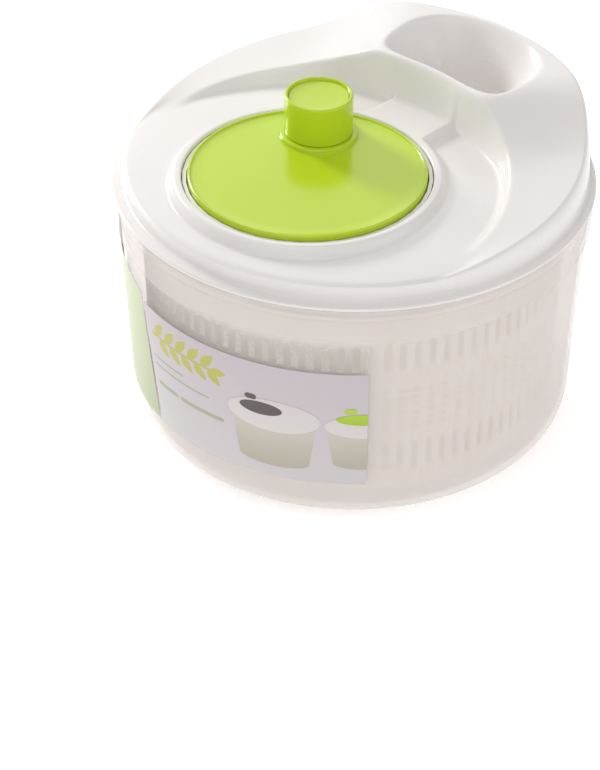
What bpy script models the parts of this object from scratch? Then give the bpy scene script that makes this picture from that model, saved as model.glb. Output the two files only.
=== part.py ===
"""Salad spinner with a crank lid, a filling funnel, a straining basket and a bowl.

Metres, +Z up. The origin is the middle of the bowl's foot, +Y points at the funnel in the lid,
and the crank turns about a vertical axis on the -Y side of the bowl's axis.
"""
import math

import bmesh
import bpy
import numpy as np
from mathutils import Matrix, Vector

# ---- Driving dimensions -------------------------------------------------------------------
GAP = 0.0003                 # clearance between pieces that touch
WALL = 0.0018                # moulded wall of the bowl and basket
LID_WALL = 0.0023            # moulded wall of the lid
ROUND_STEPS = 36             # sides of a large turned piece
SMALL_STEPS = 12             # sides of a screw or a pin
SHARP_ANGLE = math.radians(35)

# Bowl
FOOT_RADIUS = 0.0909
FOOT_INNER_RADIUS = 0.079
FOOT_RECESS = 0.0016
CORNER_RADIUS = 0.0205
BOWL_LOW_RADIUS = 0.1114     # outside of the wall where the corner ends
BOWL_HIGH_RADIUS = 0.1167    # outside of the wall under the rim band
BAND_RADIUS = 0.1190         # outside of the rim band
BAND_LOW_Z = 0.1130
BOWL_RIM_Z = 0.1330
FLOOR_Z = 0.0036
POST_RADIUS = 0.0050
POST_TOP_Z = 0.0147

# Printed sleeve on the bowl
LABEL_LOW_Z = 0.0270
LABEL_HIGH_Z = 0.1120
LABEL_START = math.radians(-140)
LABEL_END = math.radians(-43.2)
LABEL_THICKNESS = 0.0004
LABEL_STEPS = 24

# Bearing cup between the post and the basket
CUP_BORE = 0.0054
CUP_RADIUS = 0.0085
CUP_FLANGE_RADIUS = 0.0125
CUP_LOW_Z = 0.0060
CUP_TOP_Z = 0.0175

# Basket
BASKET_STEPS = 48            # every second step carries a slot
BASKET_RIM_Z = 0.1230
BASKET_RIM_RADIUS = 0.1100
BASKET_HIGH_RADIUS = 0.1060
BASKET_LOW_RADIUS = 0.1020
BASKET_FLOOR_Z = 0.0100
BASKET_SLOT_BANDS = ((0.1045, 0.0885), (0.0760, 0.0510), (0.0440, 0.0280))
RIM_HOLE_RADII = (0.1069, 0.1093)

# Lid
LIP_RADIUS = 0.1200
LIP_LOW_Z = 0.1333
EDGE_RADIUS = 0.1130
EDGE_Z = 0.1423
DOME_RISE = 0.0040
PLUG_RADII = (0.1143, 0.1163)
PLUG_LOW_Z = 0.1285
CRANK_Y = -0.0332
BACK_CENTRE_Y = -0.0360      # centre of the raised back's wall
RECESS_RADIUS = 0.0615
RECESS_LOW_Z = 0.1430
COLLAR_FOOT_RADIUS = 0.0693
COLLAR_Z = 0.1497
TONGUE_HALF_WIDTH = 0.0200
# degrees about the centre of the raised back's wall, and radius from it
WALL_FOOT_PROFILE = ((15, 0.0880), (30, 0.0925), (40, 0.0945))
WALL_CREST_PROFILE = ((20, 0.0935), (30, 0.0980), (38, 0.1000))
BOSS_Z = 0.1705
CREST_Z = 0.1695
CREST_PROFILE = ((0, CREST_Z), (23, CREST_Z), (30, 0.1625), (38, 0.1565), (46, 0.1530), (56, 0.1508),
                 (66, 0.1494), (75, 0.1473), (95, EDGE_Z))
RIM_PROFILE = ((0, BOSS_Z), (30, 0.1701), (36, 0.1676), (41, 0.1633), (47, 0.1586), (54, 0.1551),
               (76, 0.1509), (90, 0.1482), (105, 0.1453), (125, EDGE_Z))
EDGE_ROUNDING = 0.0030
SKIRT_DROP = 0.5             # how far the deck's edge sinks for each step outwards
BOSS_EDGE_GROWTH = 0.0054    # the raised back's outer wall stands this far outside the deck edge
MOUTH_HALF_WIDTH = 0.0425
MOUTH_FRONT_RADIUS = 0.0946  # front lip, measured from the centre of the back's wall
MOUTH_BACK_RADIUS = 0.1125   # back lip, measured from the bowl axis
MOUTH_SQUARENESS = 2.8
THROAT_Y = 0.0850
THROAT_HALF_WIDTH = 0.0200
THROAT_HALF_DEPTH = 0.0125
THROAT_Z = 0.1400
THROAT_SHARE = 0.46          # the throat against the mouth, in width
FUNNEL_FLARE = 1.5           # 1 is a straight cone, more opens out towards the lip

# Gear tray under the lid
TRAY_LOW_Z = 0.1342
TRAY_TOP_Z = 0.1362
TRAY_RADIUS = 0.0705
TRAY_WALL_RADII = (0.0593, 0.0612)
TRAY_WALL_TOP_Z = 0.1483
TRAY_SCREW_RADIUS = 0.0660
TRAY_SCREW_ANGLES = (45, 135, 225, 315)

# Gears: an internal ring on the crank and a pinion on the bowl's axis
RING_TEETH = 48
PINION_TEETH = 12
MODULE = 2 * abs(CRANK_Y) / (RING_TEETH - PINION_TEETH)
PRESSURE_ANGLE = math.radians(20)
BACKLASH = 0.0003
RING_RADIUS = 0.0555
RING_LOW_Z = 0.1392
RING_TOP_Z = 0.1454
RING_TIP_RADIUS = 0.04325
RING_SPACE_RADIUS = 0.0424     # inner end of the tooth spaces' cutter
RING_ROOT_RADIUS = 0.04657
PINION_LOW_Z = 0.1380
PINION_TIP_RADIUS = 0.01282
PINION_ROOT_RADIUS = 0.00867

# Crank disc
DISC_RADIUS = 0.0586
DISC_TOP_Z = 0.1512
DISC_LOW_Z = 0.1488
DISC_SKIRT_Z = 0.1459
HUB_RADIUS = 0.0100
SHAFT_RADIUS = 0.0050
SHAFT_LOW_Z = 0.1338
PILLAR_RADIUS = 0.0034
PILLAR_PLACE = 0.0515
PILLAR_ANGLES = (30, 150, 270)

# Knob
KNOB_OFFSET = (-0.0201, 0.0290)   # from the crank axis
KNOB_RADIUS = 0.0170
KNOB_SEAT_RADIUS = 0.0194
KNOB_SEAT_Z = 0.1546
KNOB_TOP_Z = 0.1740

# Driver spider
DRIVER_LOW_Z = 0.1242
DRIVER_ARM_Z = 0.1268
DRIVER_TOP_Z = 0.1336
DRIVER_HUB_RADIUS = 0.0090
DRIVER_ARM_WIDTH = 0.0090
DRIVER_REACH = 0.1090
PEG_RADII = (0.1074, 0.1088)
PEG_WIDTH = 0.0070
PEG_LOW_Z = 0.1195
DRIVER_ANGLES = (11.25, 131.25, 251.25)

CRANK_AXIS = (0.0, CRANK_Y, 0.0)
KNOB_AXIS = (KNOB_OFFSET[0], CRANK_Y + KNOB_OFFSET[1], 0.0)


# ---- Helpers ------------------------------------------------------------------------------
def clear_scene():
    """Empty the scene of whatever it starts with."""
    for obj in list(bpy.data.objects):
        bpy.data.objects.remove(obj, do_unlink=True)


def plastic(name, colour, roughness, alpha=1.0, metallic=0.0):
    """A Principled material in one colour."""
    surface = bpy.data.materials.new(name)
    surface.use_nodes = True
    shader = surface.node_tree.nodes["Principled BSDF"]
    shader.inputs["Base Color"].default_value = (*colour, 1.0)
    shader.inputs["Roughness"].default_value = roughness
    shader.inputs["Metallic"].default_value = metallic
    shader.inputs["Alpha"].default_value = alpha
    return surface


def add_frame(name, place, parent=None):
    """An empty that stands on a joint's axis and carries the pieces that move with it."""
    empty = bpy.data.objects.new(name, None)
    bpy.context.scene.collection.objects.link(empty)
    empty.parent = parent
    empty.location = Vector(place) - world_place(parent)
    return empty


def world_place(obj):
    """Where an unturned object stands, summed up through its parents."""
    place = Vector((0.0, 0.0, 0.0))
    while obj is not None:
        place += obj.location
        obj = obj.parent
    return place


def add_piece(name, bm, surface, parent=None):
    """Make an object of a closed bmesh that was built in world coordinates."""
    pivot = world_place(parent)
    bmesh.ops.recalc_face_normals(bm, faces=bm.faces)
    bmesh.ops.translate(bm, verts=bm.verts, vec=-pivot)
    mesh = bpy.data.meshes.new(name)
    bm.to_mesh(mesh)
    bm.free()
    mesh.shade_smooth()
    mesh.set_sharp_from_angle(angle=SHARP_ANGLE)
    mesh.materials.append(surface)
    obj = bpy.data.objects.new(name, mesh)
    bpy.context.scene.collection.objects.link(obj)
    obj.parent = parent
    return obj


def combine(target, operation, *shapes):
    """Join shapes to a piece, or cut them from it; they don't touch each other."""
    bm = bmesh.new()
    for shape in shapes:
        scratch = bpy.data.meshes.new("scratch")
        bmesh.ops.recalc_face_normals(shape, faces=shape.faces)
        shape.to_mesh(scratch)
        shape.free()
        bm.from_mesh(scratch)
        bpy.data.meshes.remove(scratch)
    tool = add_piece(f"{target.name}_{operation.lower()}", bm, target.data.materials[0], target.parent)
    tool.hide_render = True
    tool.display_type = "WIRE"
    modifier = target.modifiers.new(operation.title(), "BOOLEAN")
    modifier.operation = operation
    modifier.solver = "EXACT"
    modifier.object = tool


def lathe(outline, steps=ROUND_STEPS, centre=(0.0, 0.0)):
    """Spin a closed outline of (radius, height) points about a vertical axis.

    A side that lies on the axis makes no face.
    """
    bm = bmesh.new()
    verts = [bm.verts.new((radius, 0.0, height)) for radius, height in outline]
    pairs = zip(verts, verts[1:] + verts[:1])
    edges = [bm.edges.new(pair) for pair in pairs if pair[0].co.x > 0 or pair[1].co.x > 0]
    bmesh.ops.spin(bm, geom=verts + edges, cent=(0, 0, 0), axis=(0, 0, 1), angle=math.tau, steps=steps)
    bmesh.ops.remove_doubles(bm, verts=bm.verts, dist=1e-6)
    bmesh.ops.translate(bm, verts=bm.verts, vec=(centre[0], centre[1], 0.0))
    return bm


def rod(centre, radius, low, high, steps=SMALL_STEPS):
    """A plain upright cylinder."""
    return lathe([(0, low), (radius, low), (radius, high), (0, high)], steps, centre)


def prism(outline, low, high):
    """An upright block with a flat outline."""
    bm = bmesh.new()
    face = bm.faces.new([bm.verts.new((x, y, low)) for x, y in outline])
    top = bmesh.ops.extrude_face_region(bm, geom=[face])
    moved = [item for item in top["geom"] if isinstance(item, bmesh.types.BMVert)]
    bmesh.ops.translate(bm, verts=moved, vec=(0.0, 0.0, high - low))
    return bm


def bar(angle, near, far, width, low, high):
    """A block that lies along a radius from near to far."""
    bm = prism([(near, -width / 2), (far, -width / 2), (far, width / 2), (near, width / 2)], low, high)
    bmesh.ops.rotate(bm, verts=bm.verts, cent=(0, 0, 0), matrix=Matrix.Rotation(math.radians(angle), 3, "Z"))
    return bm


def around(centre, radius, angles):
    """Places on a circle."""
    return [(centre[0] + radius * math.cos(math.radians(angle)),
             centre[1] + radius * math.sin(math.radians(angle))) for angle in angles]


def arc(centre, radius, start, end, steps):
    """Points along an arc, in degrees, both ends included."""
    turns = [math.radians(start + (end - start) * step / steps) for step in range(steps + 1)]
    return [(centre[0] + radius * math.cos(turn), centre[1] + radius * math.sin(turn)) for turn in turns]


def screw(name, centre, head_low, tip, surface, parent, shank=0.0014, head=0.0030, head_height=0.0020):
    """A pan-head screw that points up, with a round socket in its head."""
    socket = head * 0.45
    neck = head_low + head_height
    outline = [(0, head_low + head_height * 0.5), (socket, head_low + head_height * 0.5), (socket, head_low),
               (head * 0.8, head_low), (head, head_low + head_height * 0.4), (head, neck),
               (shank, neck), (shank, tip - shank), (0, tip)]
    return add_piece(name, lathe(outline, SMALL_STEPS, centre), surface, parent)


def washer(name, centre, bore, radius, low, high, surface, parent):
    """A flat ring."""
    outline = [(bore, low), (radius, low), (radius, high), (bore, high)]
    return add_piece(name, lathe(outline, SMALL_STEPS, centre), surface, parent)


# ---- Bowl and label -----------------------------------------------------------------------
def bowl_wall_radius(height):
    """Outside of the bowl's wall between its corner and its rim band."""
    share = (height - CORNER_RADIUS) / (BAND_LOW_Z - CORNER_RADIUS)
    return BOWL_LOW_RADIUS + (BOWL_HIGH_RADIUS - BOWL_LOW_RADIUS) * share


def make_bowl(surface):
    """Foot ring, round corner, wall, stepped rim band, and the pivot post on the floor."""
    outside = arc((FOOT_RADIUS, CORNER_RADIUS), CORNER_RADIUS, -90, 0, 5)
    inner_corner = CORNER_RADIUS + FLOOR_Z - WALL
    inside = arc((FOOT_RADIUS, inner_corner), inner_corner - FLOOR_Z, -90, 0, 5)
    band_in = BAND_RADIUS - WALL
    outline = [(0, FOOT_RECESS), (FOOT_INNER_RADIUS - 0.001, FOOT_RECESS), (FOOT_INNER_RADIUS, 0)]
    outline += outside
    outline += [(bowl_wall_radius(0.07), 0.07), (BOWL_HIGH_RADIUS, BAND_LOW_Z),
                (BAND_RADIUS - 0.0006, BAND_LOW_Z + 0.0020), (BAND_RADIUS, BAND_LOW_Z + 0.0030),
                (BAND_RADIUS, BOWL_RIM_Z - 0.0006), (BAND_RADIUS - 0.0005, BOWL_RIM_Z),
                (band_in + 0.0004, BOWL_RIM_Z), (band_in, BOWL_RIM_Z - 0.0006),
                (band_in, BAND_LOW_Z + 0.0040), (BOWL_HIGH_RADIUS - WALL, BAND_LOW_Z + 0.0010),
                (bowl_wall_radius(0.07) - WALL, 0.07)]
    outline += reversed(inside)
    outline += [(POST_RADIUS + 0.0015, FLOOR_Z), (POST_RADIUS, FLOOR_Z + 0.0012),
                (POST_RADIUS - 0.0002, POST_TOP_Z - 0.0014), (POST_RADIUS - 0.0018, POST_TOP_Z - 0.0003),
                (0, POST_TOP_Z)]
    return add_piece("bowl", lathe(outline), surface)


def make_label(surface):
    """A thin printed sleeve that follows the bowl's wall over part of its turn."""
    bm = bmesh.new()
    rows = []
    for step in range(LABEL_STEPS + 1):
        turn = LABEL_START + (LABEL_END - LABEL_START) * step / LABEL_STEPS
        row = []
        for height, depth in ((LABEL_LOW_Z, 0), (LABEL_HIGH_Z, 0), (LABEL_HIGH_Z, 1), (LABEL_LOW_Z, 1)):
            radius = bowl_wall_radius(height) + GAP + depth * LABEL_THICKNESS
            row.append(bm.verts.new((radius * math.cos(turn), radius * math.sin(turn), height)))
        rows.append(row)
    for near, far in zip(rows, rows[1:]):
        for side in range(4):
            bm.faces.new((near[side], near[(side + 1) % 4], far[(side + 1) % 4], far[side]))
    bm.faces.new(rows[0])
    bm.faces.new(rows[-1])
    return add_piece("label", bm, surface)


# ---- Bearing cup and basket ---------------------------------------------------------------
def make_bearing_cup(surface, parent):
    """An upside-down cup that stands on the post and carries the basket's hub."""
    flange_top = CUP_LOW_Z + 0.0020
    outline = [(CUP_BORE, CUP_LOW_Z), (CUP_FLANGE_RADIUS, CUP_LOW_Z), (CUP_FLANGE_RADIUS, flange_top),
               (CUP_RADIUS, flange_top), (CUP_RADIUS, CUP_TOP_Z - 0.0005), (CUP_RADIUS - 0.0005, CUP_TOP_Z),
               (0, CUP_TOP_Z), (0, POST_TOP_Z + GAP), (CUP_BORE, POST_TOP_Z + GAP)]
    return add_piece("bearing_cup", lathe(outline, 24), surface, parent)


def slotted_lathe(outline, steps, slots):
    """Turn a closed outline, leaving every second step open where slots pair two of its sides.

    A slot (outer, inner) opens the side from point outer to the next one through the wall to the
    side from point inner to the next one, which run opposite ways.
    """
    bm = bmesh.new()
    rings = []
    for radius, height in outline:
        if radius == 0:
            rings.append([bm.verts.new((0, 0, height))] * steps)
            continue
        turns = [math.tau * step / steps for step in range(steps)]
        rings.append([bm.verts.new((radius * math.cos(t), radius * math.sin(t), height)) for t in turns])
    open_sides = {side for slot in slots for side in slot}
    for side, (near, far) in enumerate(zip(rings, rings[1:] + rings[:1])):
        if near[0] is near[1] and far[0] is far[1]:
            continue
        for step in range(steps):
            after = (step + 1) % steps
            if side in open_sides and step % 2:
                continue
            corners = list(dict.fromkeys((near[step], far[step], far[after], near[after])))
            bm.faces.new(corners)
    for outer, inner in slots:
        for step in range(1, steps, 2):
            left = [rings[ring][step] for ring in (outer, outer + 1, inner, inner + 1)]
            right = [rings[ring][(step + 1) % steps] for ring in (outer, outer + 1, inner, inner + 1)]
            bm.faces.new(left)
            bm.faces.new(right)
            bm.faces.new((left[0], right[0], right[3], left[3]))
            bm.faces.new((left[1], right[1], right[2], left[2]))
    return bm


def basket_wall_radius(height):
    """Outside of the basket's wall."""
    share = height / BASKET_RIM_Z
    return BASKET_LOW_RADIUS + (BASKET_HIGH_RADIUS - BASKET_LOW_RADIUS) * share


def make_basket(surface, parent):
    """Slotted wall and floor, a rim with driving holes, and a hub that turns on the bearing cup."""
    low, high = RIM_HOLE_RADII
    under_rim = BASKET_RIM_Z - 0.0020
    wall_heights = [height for band in BASKET_SLOT_BANDS for height in band]
    outer = [(low, under_rim), (high, under_rim), (BASKET_RIM_RADIUS, under_rim),
             (BASKET_RIM_RADIUS, BASKET_RIM_Z), (high, BASKET_RIM_Z), (low, BASKET_RIM_Z)]
    inner_edge = basket_wall_radius(BASKET_RIM_Z) - WALL
    inner = [(inner_edge, BASKET_RIM_Z)]
    inner += [(basket_wall_radius(height) - WALL, height) for height in wall_heights]
    floor_top = BASKET_FLOOR_Z + WALL
    inner += [(0.0985, 0.0185), (0.0900, floor_top), (0.0780, floor_top), (0.0550, floor_top),
              (0.0450, floor_top), (0.0220, floor_top), (0.0125, floor_top), (0.0112, CUP_TOP_Z + 0.0023),
              (0, CUP_TOP_Z + 0.0023), (0, CUP_TOP_Z + GAP), (CUP_RADIUS + 0.0004, CUP_TOP_Z + GAP),
              (CUP_RADIUS + 0.0004, CUP_LOW_Z + 0.0023), (0.0125, CUP_LOW_Z + 0.0023)]
    under = [(0.0220, BASKET_FLOOR_Z), (0.0450, BASKET_FLOOR_Z), (0.0550, BASKET_FLOOR_Z),
             (0.0780, BASKET_FLOOR_Z), (0.0910, BASKET_FLOOR_Z), (0.1005, 0.0175)]
    under += [(basket_wall_radius(height), height) for height in reversed(wall_heights)]
    under += [(basket_wall_radius(under_rim), under_rim)]
    outline = outer + inner + under
    slots = [(outline.index((low, under_rim)), outline.index((high, BASKET_RIM_Z))),
             (outline.index((0.0220, BASKET_FLOOR_Z)), outline.index((0.0450, floor_top))),
             (outline.index((0.0550, BASKET_FLOOR_Z)), outline.index((0.0780, floor_top)))]
    for top, bottom in BASKET_SLOT_BANDS:
        slots.append((outline.index((basket_wall_radius(bottom), bottom)),
                      outline.index((basket_wall_radius(top) - WALL, top))))
    bm = slotted_lathe(outline, BASKET_STEPS, slots)
    return add_piece("basket", bm, surface, parent)


# ---- Lid ----------------------------------------------------------------------------------
def smooth(share):
    """A step from 0 to 1 with level ends."""
    share = np.clip(share, 0.0, 1.0)
    return share * share * (3 - 2 * share)


def rim_height(x, y):
    """Height of the lid's outer edge in the direction of a point."""
    bearing = np.abs(np.degrees(np.arctan2(x, y)))
    return np.interp(bearing, *zip(*RIM_PROFILE))


def edge_radius(x, y):
    """The deck's outer edge, which grows where the back is raised."""
    return EDGE_RADIUS + BOSS_EDGE_GROWTH * ((rim_height(x, y) - EDGE_Z) / (BOSS_Z - EDGE_Z)) ** 0.8


def edge_z(x, y):
    """Height where the deck's edge meets the skirt."""
    return EDGE_Z - SKIRT_DROP * (edge_radius(x, y) - EDGE_RADIUS)


def mouth_share(x, y):
    """0 in the throat, 1 at the mouth's lip and beyond, level on rounded ovals between them."""
    front = BACK_CENTRE_Y + np.sqrt(np.maximum(MOUTH_FRONT_RADIUS ** 2 - x ** 2, 0))
    back = np.sqrt(np.maximum(MOUTH_BACK_RADIUS ** 2 - x ** 2, 0))
    middle, half_depth = (front + back) / 2, (back - front) / 2
    across = np.abs(x) / MOUTH_HALF_WIDTH
    along = np.abs(y - middle) / half_depth
    oval = (across ** MOUTH_SQUARENESS + along ** MOUTH_SQUARENESS) ** (1 / MOUTH_SQUARENESS)
    return np.maximum(oval - THROAT_SHARE, 0) / (1 - THROAT_SHARE)


def lid_top(x, y):
    """Height of the lid's upper face: domed deck, collar, tongue, raised back and funnel."""
    radius = np.hypot(x, y)
    crank_radius = np.hypot(x, y - CRANK_Y)
    deck = EDGE_Z + DOME_RISE * np.sqrt(np.maximum(1 - (radius / EDGE_RADIUS) ** 2, 0))
    rise = smooth((COLLAR_FOOT_RADIUS - crank_radius) / (COLLAR_FOOT_RADIUS - RECESS_RADIUS) * 1.3)
    tongue = smooth((TONGUE_HALF_WIDTH + 0.002 - np.abs(x)) / 0.004) * (y > CRANK_Y)
    height = deck + (COLLAR_Z - deck) * np.maximum(rise, tongue)
    wall_radius = np.hypot(x, y - BACK_CENTRE_Y)
    swing = np.abs(np.degrees(np.arctan2(x, y - BACK_CENTRE_Y)))
    crest = np.interp(swing, *zip(*CREST_PROFILE))
    wall_foot = np.interp(swing, *zip(*WALL_FOOT_PROFILE))
    wall_crest = np.interp(swing, *zip(*WALL_CREST_PROFILE))
    past_crest = np.maximum(wall_radius - wall_crest, 0)
    before_edge = np.maximum(edge_radius(x, y) - radius, 0)
    share = past_crest / np.maximum(past_crest + before_edge, 1e-6)
    back = crest + (rim_height(x, y) - crest) * share
    wall = smooth((wall_radius - wall_foot) / (wall_crest - wall_foot))
    height = height + np.maximum(back - height, 0) * wall
    inward = np.clip((edge_radius(x, y) - radius) / EDGE_ROUNDING, 0, 1)
    foot = edge_z(x, y)
    height = foot + (height - foot) * np.sqrt(1 - (1 - inward) ** 2)
    height = height - SKIRT_DROP * np.maximum(radius - edge_radius(x, y), 0)
    depth = np.maximum(1 - mouth_share(x, y), 0) ** FUNNEL_FLARE
    return np.minimum(height, BOSS_Z - (BOSS_Z - THROAT_Z) * depth)


def lid_under(x, y):
    """Height of the lid's lower face, one wall thickness from the upper face in every direction."""
    lowest = lid_top(x, y) - LID_WALL
    for share in (0.45, 0.8, 0.98):
        reach = share * LID_WALL
        drop = math.sqrt(LID_WALL ** 2 - reach ** 2)
        for turn in np.arange(12) * math.tau / 12:
            lowest = np.minimum(lowest, lid_top(x + reach * np.cos(turn), y + reach * np.sin(turn)) - drop)
    return lowest


def lid_bearings():
    """Directions of the lid's mesh lines, closer together across the raised back."""
    fine = np.arange(-60, 60.1, 5)
    coarse = np.arange(70, 290.1, 10)
    return np.radians(90 - np.concatenate([fine, coarse]))


def lid_ring(bearings, share):
    """Points on a ring between the collar's foot at 0 and the deck's edge at 1."""
    x_dir, y_dir = np.cos(bearings), np.sin(bearings)
    centre_y = CRANK_Y * (1 - share)
    radius = COLLAR_FOOT_RADIUS + (edge_radius(x_dir, y_dir) - COLLAR_FOOT_RADIUS) * share
    return radius * x_dir, centre_y + radius * y_dir


def make_lid(surface, parent):
    """The lid's shell: upper face, skirt and lip, plug that enters the bowl, and lower face."""
    bearings = lid_bearings()
    x_dir, y_dir = np.cos(bearings), np.sin(bearings)
    edge = edge_radius(x_dir, y_dir)
    foot = edge_z(x_dir, y_dir)

    def turned(radius, height, centre_y=0.0):
        heights = np.broadcast_to(height, bearings.shape)
        return np.stack([radius * x_dir, centre_y + radius * y_dir, heights], axis=1)

    rings = [turned(RECESS_RADIUS, RECESS_LOW_Z, CRANK_Y)]
    for radius in (RECESS_RADIUS, 0.0640, 0.0675):
        x, y = radius * x_dir, CRANK_Y + radius * y_dir
        rings.append(np.stack([x, y, lid_top(x, y)], axis=1))
    shares = (0, 0.15, 0.30, 0.43, 0.54, 0.64, 0.73, 0.81, 0.88, 0.93, 0.965)
    for share in shares:
        x, y = lid_ring(bearings, share)
        rings.append(np.stack([x, y, lid_top(x, y)], axis=1))
    for inset in (0.0012, 0.0003):
        x, y = (edge - inset) * x_dir, (edge - inset) * y_dir
        rings.append(np.stack([x, y, lid_top(x, y)], axis=1))
    rings.append(turned(edge, foot))
    rings.append(turned(edge + 0.0002, (foot + LIP_LOW_Z + 0.0034) / 2))
    ledge = LIP_RADIUS - 0.0011 - edge
    rings.append(turned(edge + 0.0005, LIP_LOW_Z + 0.0034))
    rings.append(turned(edge + 0.4 * ledge, LIP_LOW_Z + 0.0021))
    profile = ((LIP_RADIUS - 0.0010, LIP_LOW_Z + 0.0018), (LIP_RADIUS - 0.0002, LIP_LOW_Z + 0.0014),
               (LIP_RADIUS, LIP_LOW_Z + 0.0009), (LIP_RADIUS - 0.0002, LIP_LOW_Z + 0.0003),
               (LIP_RADIUS - 0.0010, LIP_LOW_Z), (PLUG_RADII[1] + 0.0003, LIP_LOW_Z),
               (PLUG_RADII[1], PLUG_LOW_Z + 0.0004), (PLUG_RADII[1] - 0.0003, PLUG_LOW_Z),
               (PLUG_RADII[0] + 0.0003, PLUG_LOW_Z), (PLUG_RADII[0], PLUG_LOW_Z + 0.0004),
               (PLUG_RADII[0], LIP_LOW_Z - 0.0012))
    for radius, height in profile:
        rings.append(turned(radius, height))
    rings.append(turned(np.minimum(edge - 0.0008, PLUG_RADII[0]), LIP_LOW_Z + 0.0004))
    rings.append(turned(edge - LID_WALL + 0.0004, LIP_LOW_Z + 0.0026))
    inset = LID_WALL + 0.0002
    x, y = (edge - inset) * x_dir, (edge - inset) * y_dir
    rings.append(np.stack([x, y, lid_under(x, y)], axis=1))
    for share in reversed(shares[1:-2]):
        x, y = lid_ring(bearings, share)
        rings.append(np.stack([x, y, lid_under(x, y)], axis=1))
    for radius in (0.0700, 0.0660, RECESS_RADIUS + LID_WALL):
        x, y = radius * x_dir, CRANK_Y + radius * y_dir
        rings.append(np.stack([x, y, lid_under(x, y)], axis=1))
    rings.append(turned(RECESS_RADIUS + LID_WALL - 0.0003, RECESS_LOW_Z, CRANK_Y))
    bm = bmesh.new()
    loops = [[bm.verts.new(point) for point in ring] for ring in rings]
    for near, far in zip(loops, loops[1:] + loops[:1]):
        for step in range(len(bearings)):
            after = (step + 1) % len(bearings)
            bm.faces.new((near[step], far[step], far[after], near[after]))
    lid = add_piece("lid_shell", bm, surface, parent)
    places = around(CRANK_AXIS, TRAY_SCREW_RADIUS, TRAY_SCREW_ANGLES)
    combine(lid, "UNION", *[rod(place, 0.0040, TRAY_TOP_Z + GAP, float(lid_top(*place)) - 0.0010, 12)
                            for place in places])
    throat = lathe([(0, 0.1300), (1.04, 0.1300), (1.04, THROAT_Z + 0.0060), (0, THROAT_Z + 0.0060)], 24)
    bmesh.ops.scale(throat, verts=throat.verts, vec=(THROAT_HALF_WIDTH, THROAT_HALF_DEPTH, 1))
    bmesh.ops.translate(throat, verts=throat.verts, vec=(0, THROAT_Y, 0))
    holes = [rod(place, 0.0017, TRAY_LOW_Z, 0.1416, 12) for place in places]
    combine(lid, "DIFFERENCE", throat, *holes)
    return lid


def make_gear_tray(surface, parent):
    """The floor under the crank: a flange on the lid's bosses and a wall inside the recess."""
    bore = SHAFT_RADIUS + 0.0004
    inner, outer = TRAY_WALL_RADII
    outline = [(bore, TRAY_LOW_Z), (TRAY_RADIUS, TRAY_LOW_Z), (TRAY_RADIUS, TRAY_TOP_Z), (outer, TRAY_TOP_Z),
               (outer, TRAY_WALL_TOP_Z), (inner, TRAY_WALL_TOP_Z), (inner, TRAY_TOP_Z), (bore, TRAY_TOP_Z)]
    tray = add_piece("gear_tray", lathe(outline, ROUND_STEPS, CRANK_AXIS), surface, parent)
    low, high = TRAY_LOW_Z - 0.001, TRAY_TOP_Z + 0.001
    places = around(CRANK_AXIS, TRAY_SCREW_RADIUS, TRAY_SCREW_ANGLES)
    holes = [rod(place, 0.0017, low, high, 12) for place in places]
    combine(tray, "DIFFERENCE", rod((0, 0), SHAFT_RADIUS + 0.0004, low, high), *holes)
    return tray


# ---- Crank and ring gear ------------------------------------------------------------------
def make_crank_disc(surface, parent):
    """Disc with a skirt, a hub and shaft in the middle, a seat for the knob and three pillars."""
    outline = [(0.0017, SHAFT_LOW_Z), (SHAFT_RADIUS, SHAFT_LOW_Z), (SHAFT_RADIUS, RING_LOW_Z),
               (HUB_RADIUS, RING_LOW_Z), (HUB_RADIUS, DISC_LOW_Z), (DISC_RADIUS - 0.0017, DISC_LOW_Z),
               (DISC_RADIUS - 0.0017, DISC_SKIRT_Z), (DISC_RADIUS, DISC_SKIRT_Z),
               (DISC_RADIUS, DISC_TOP_Z - 0.0007), (DISC_RADIUS - 0.0007, DISC_TOP_Z),
               (DISC_RADIUS - 0.0018, DISC_TOP_Z), (DISC_RADIUS - 0.0026, DISC_TOP_Z - 0.0006),
               (0, DISC_TOP_Z - 0.0002), (0, DISC_LOW_Z - 0.0030), (0.0017, DISC_LOW_Z - 0.0030)]
    disc = add_piece("crank_disc", lathe(outline, ROUND_STEPS, CRANK_AXIS), surface, parent)
    seat = lathe([(0, DISC_TOP_Z - 0.0015), (KNOB_SEAT_RADIUS, DISC_TOP_Z - 0.0015),
                  (KNOB_SEAT_RADIUS, KNOB_SEAT_Z - 0.0008), (KNOB_SEAT_RADIUS - 0.0008, KNOB_SEAT_Z),
                  (0, KNOB_SEAT_Z)], 24, KNOB_AXIS)
    places = around(CRANK_AXIS, PILLAR_PLACE, PILLAR_ANGLES)
    pillars = [rod(place, PILLAR_RADIUS, RING_TOP_Z + GAP, DISC_LOW_Z + 0.0010, 12) for place in places]
    combine(disc, "UNION", seat, *pillars)
    holes = [rod(place, 0.0014, RING_TOP_Z, DISC_LOW_Z + 0.0005, 12) for place in places]
    combine(disc, "DIFFERENCE", rod(KNOB_AXIS, 0.0018, DISC_LOW_Z - 0.001, KNOB_SEAT_Z + 0.001, 12), *holes)
    return disc


def involute(angle):
    """The involute function."""
    return math.tan(angle) - angle


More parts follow.
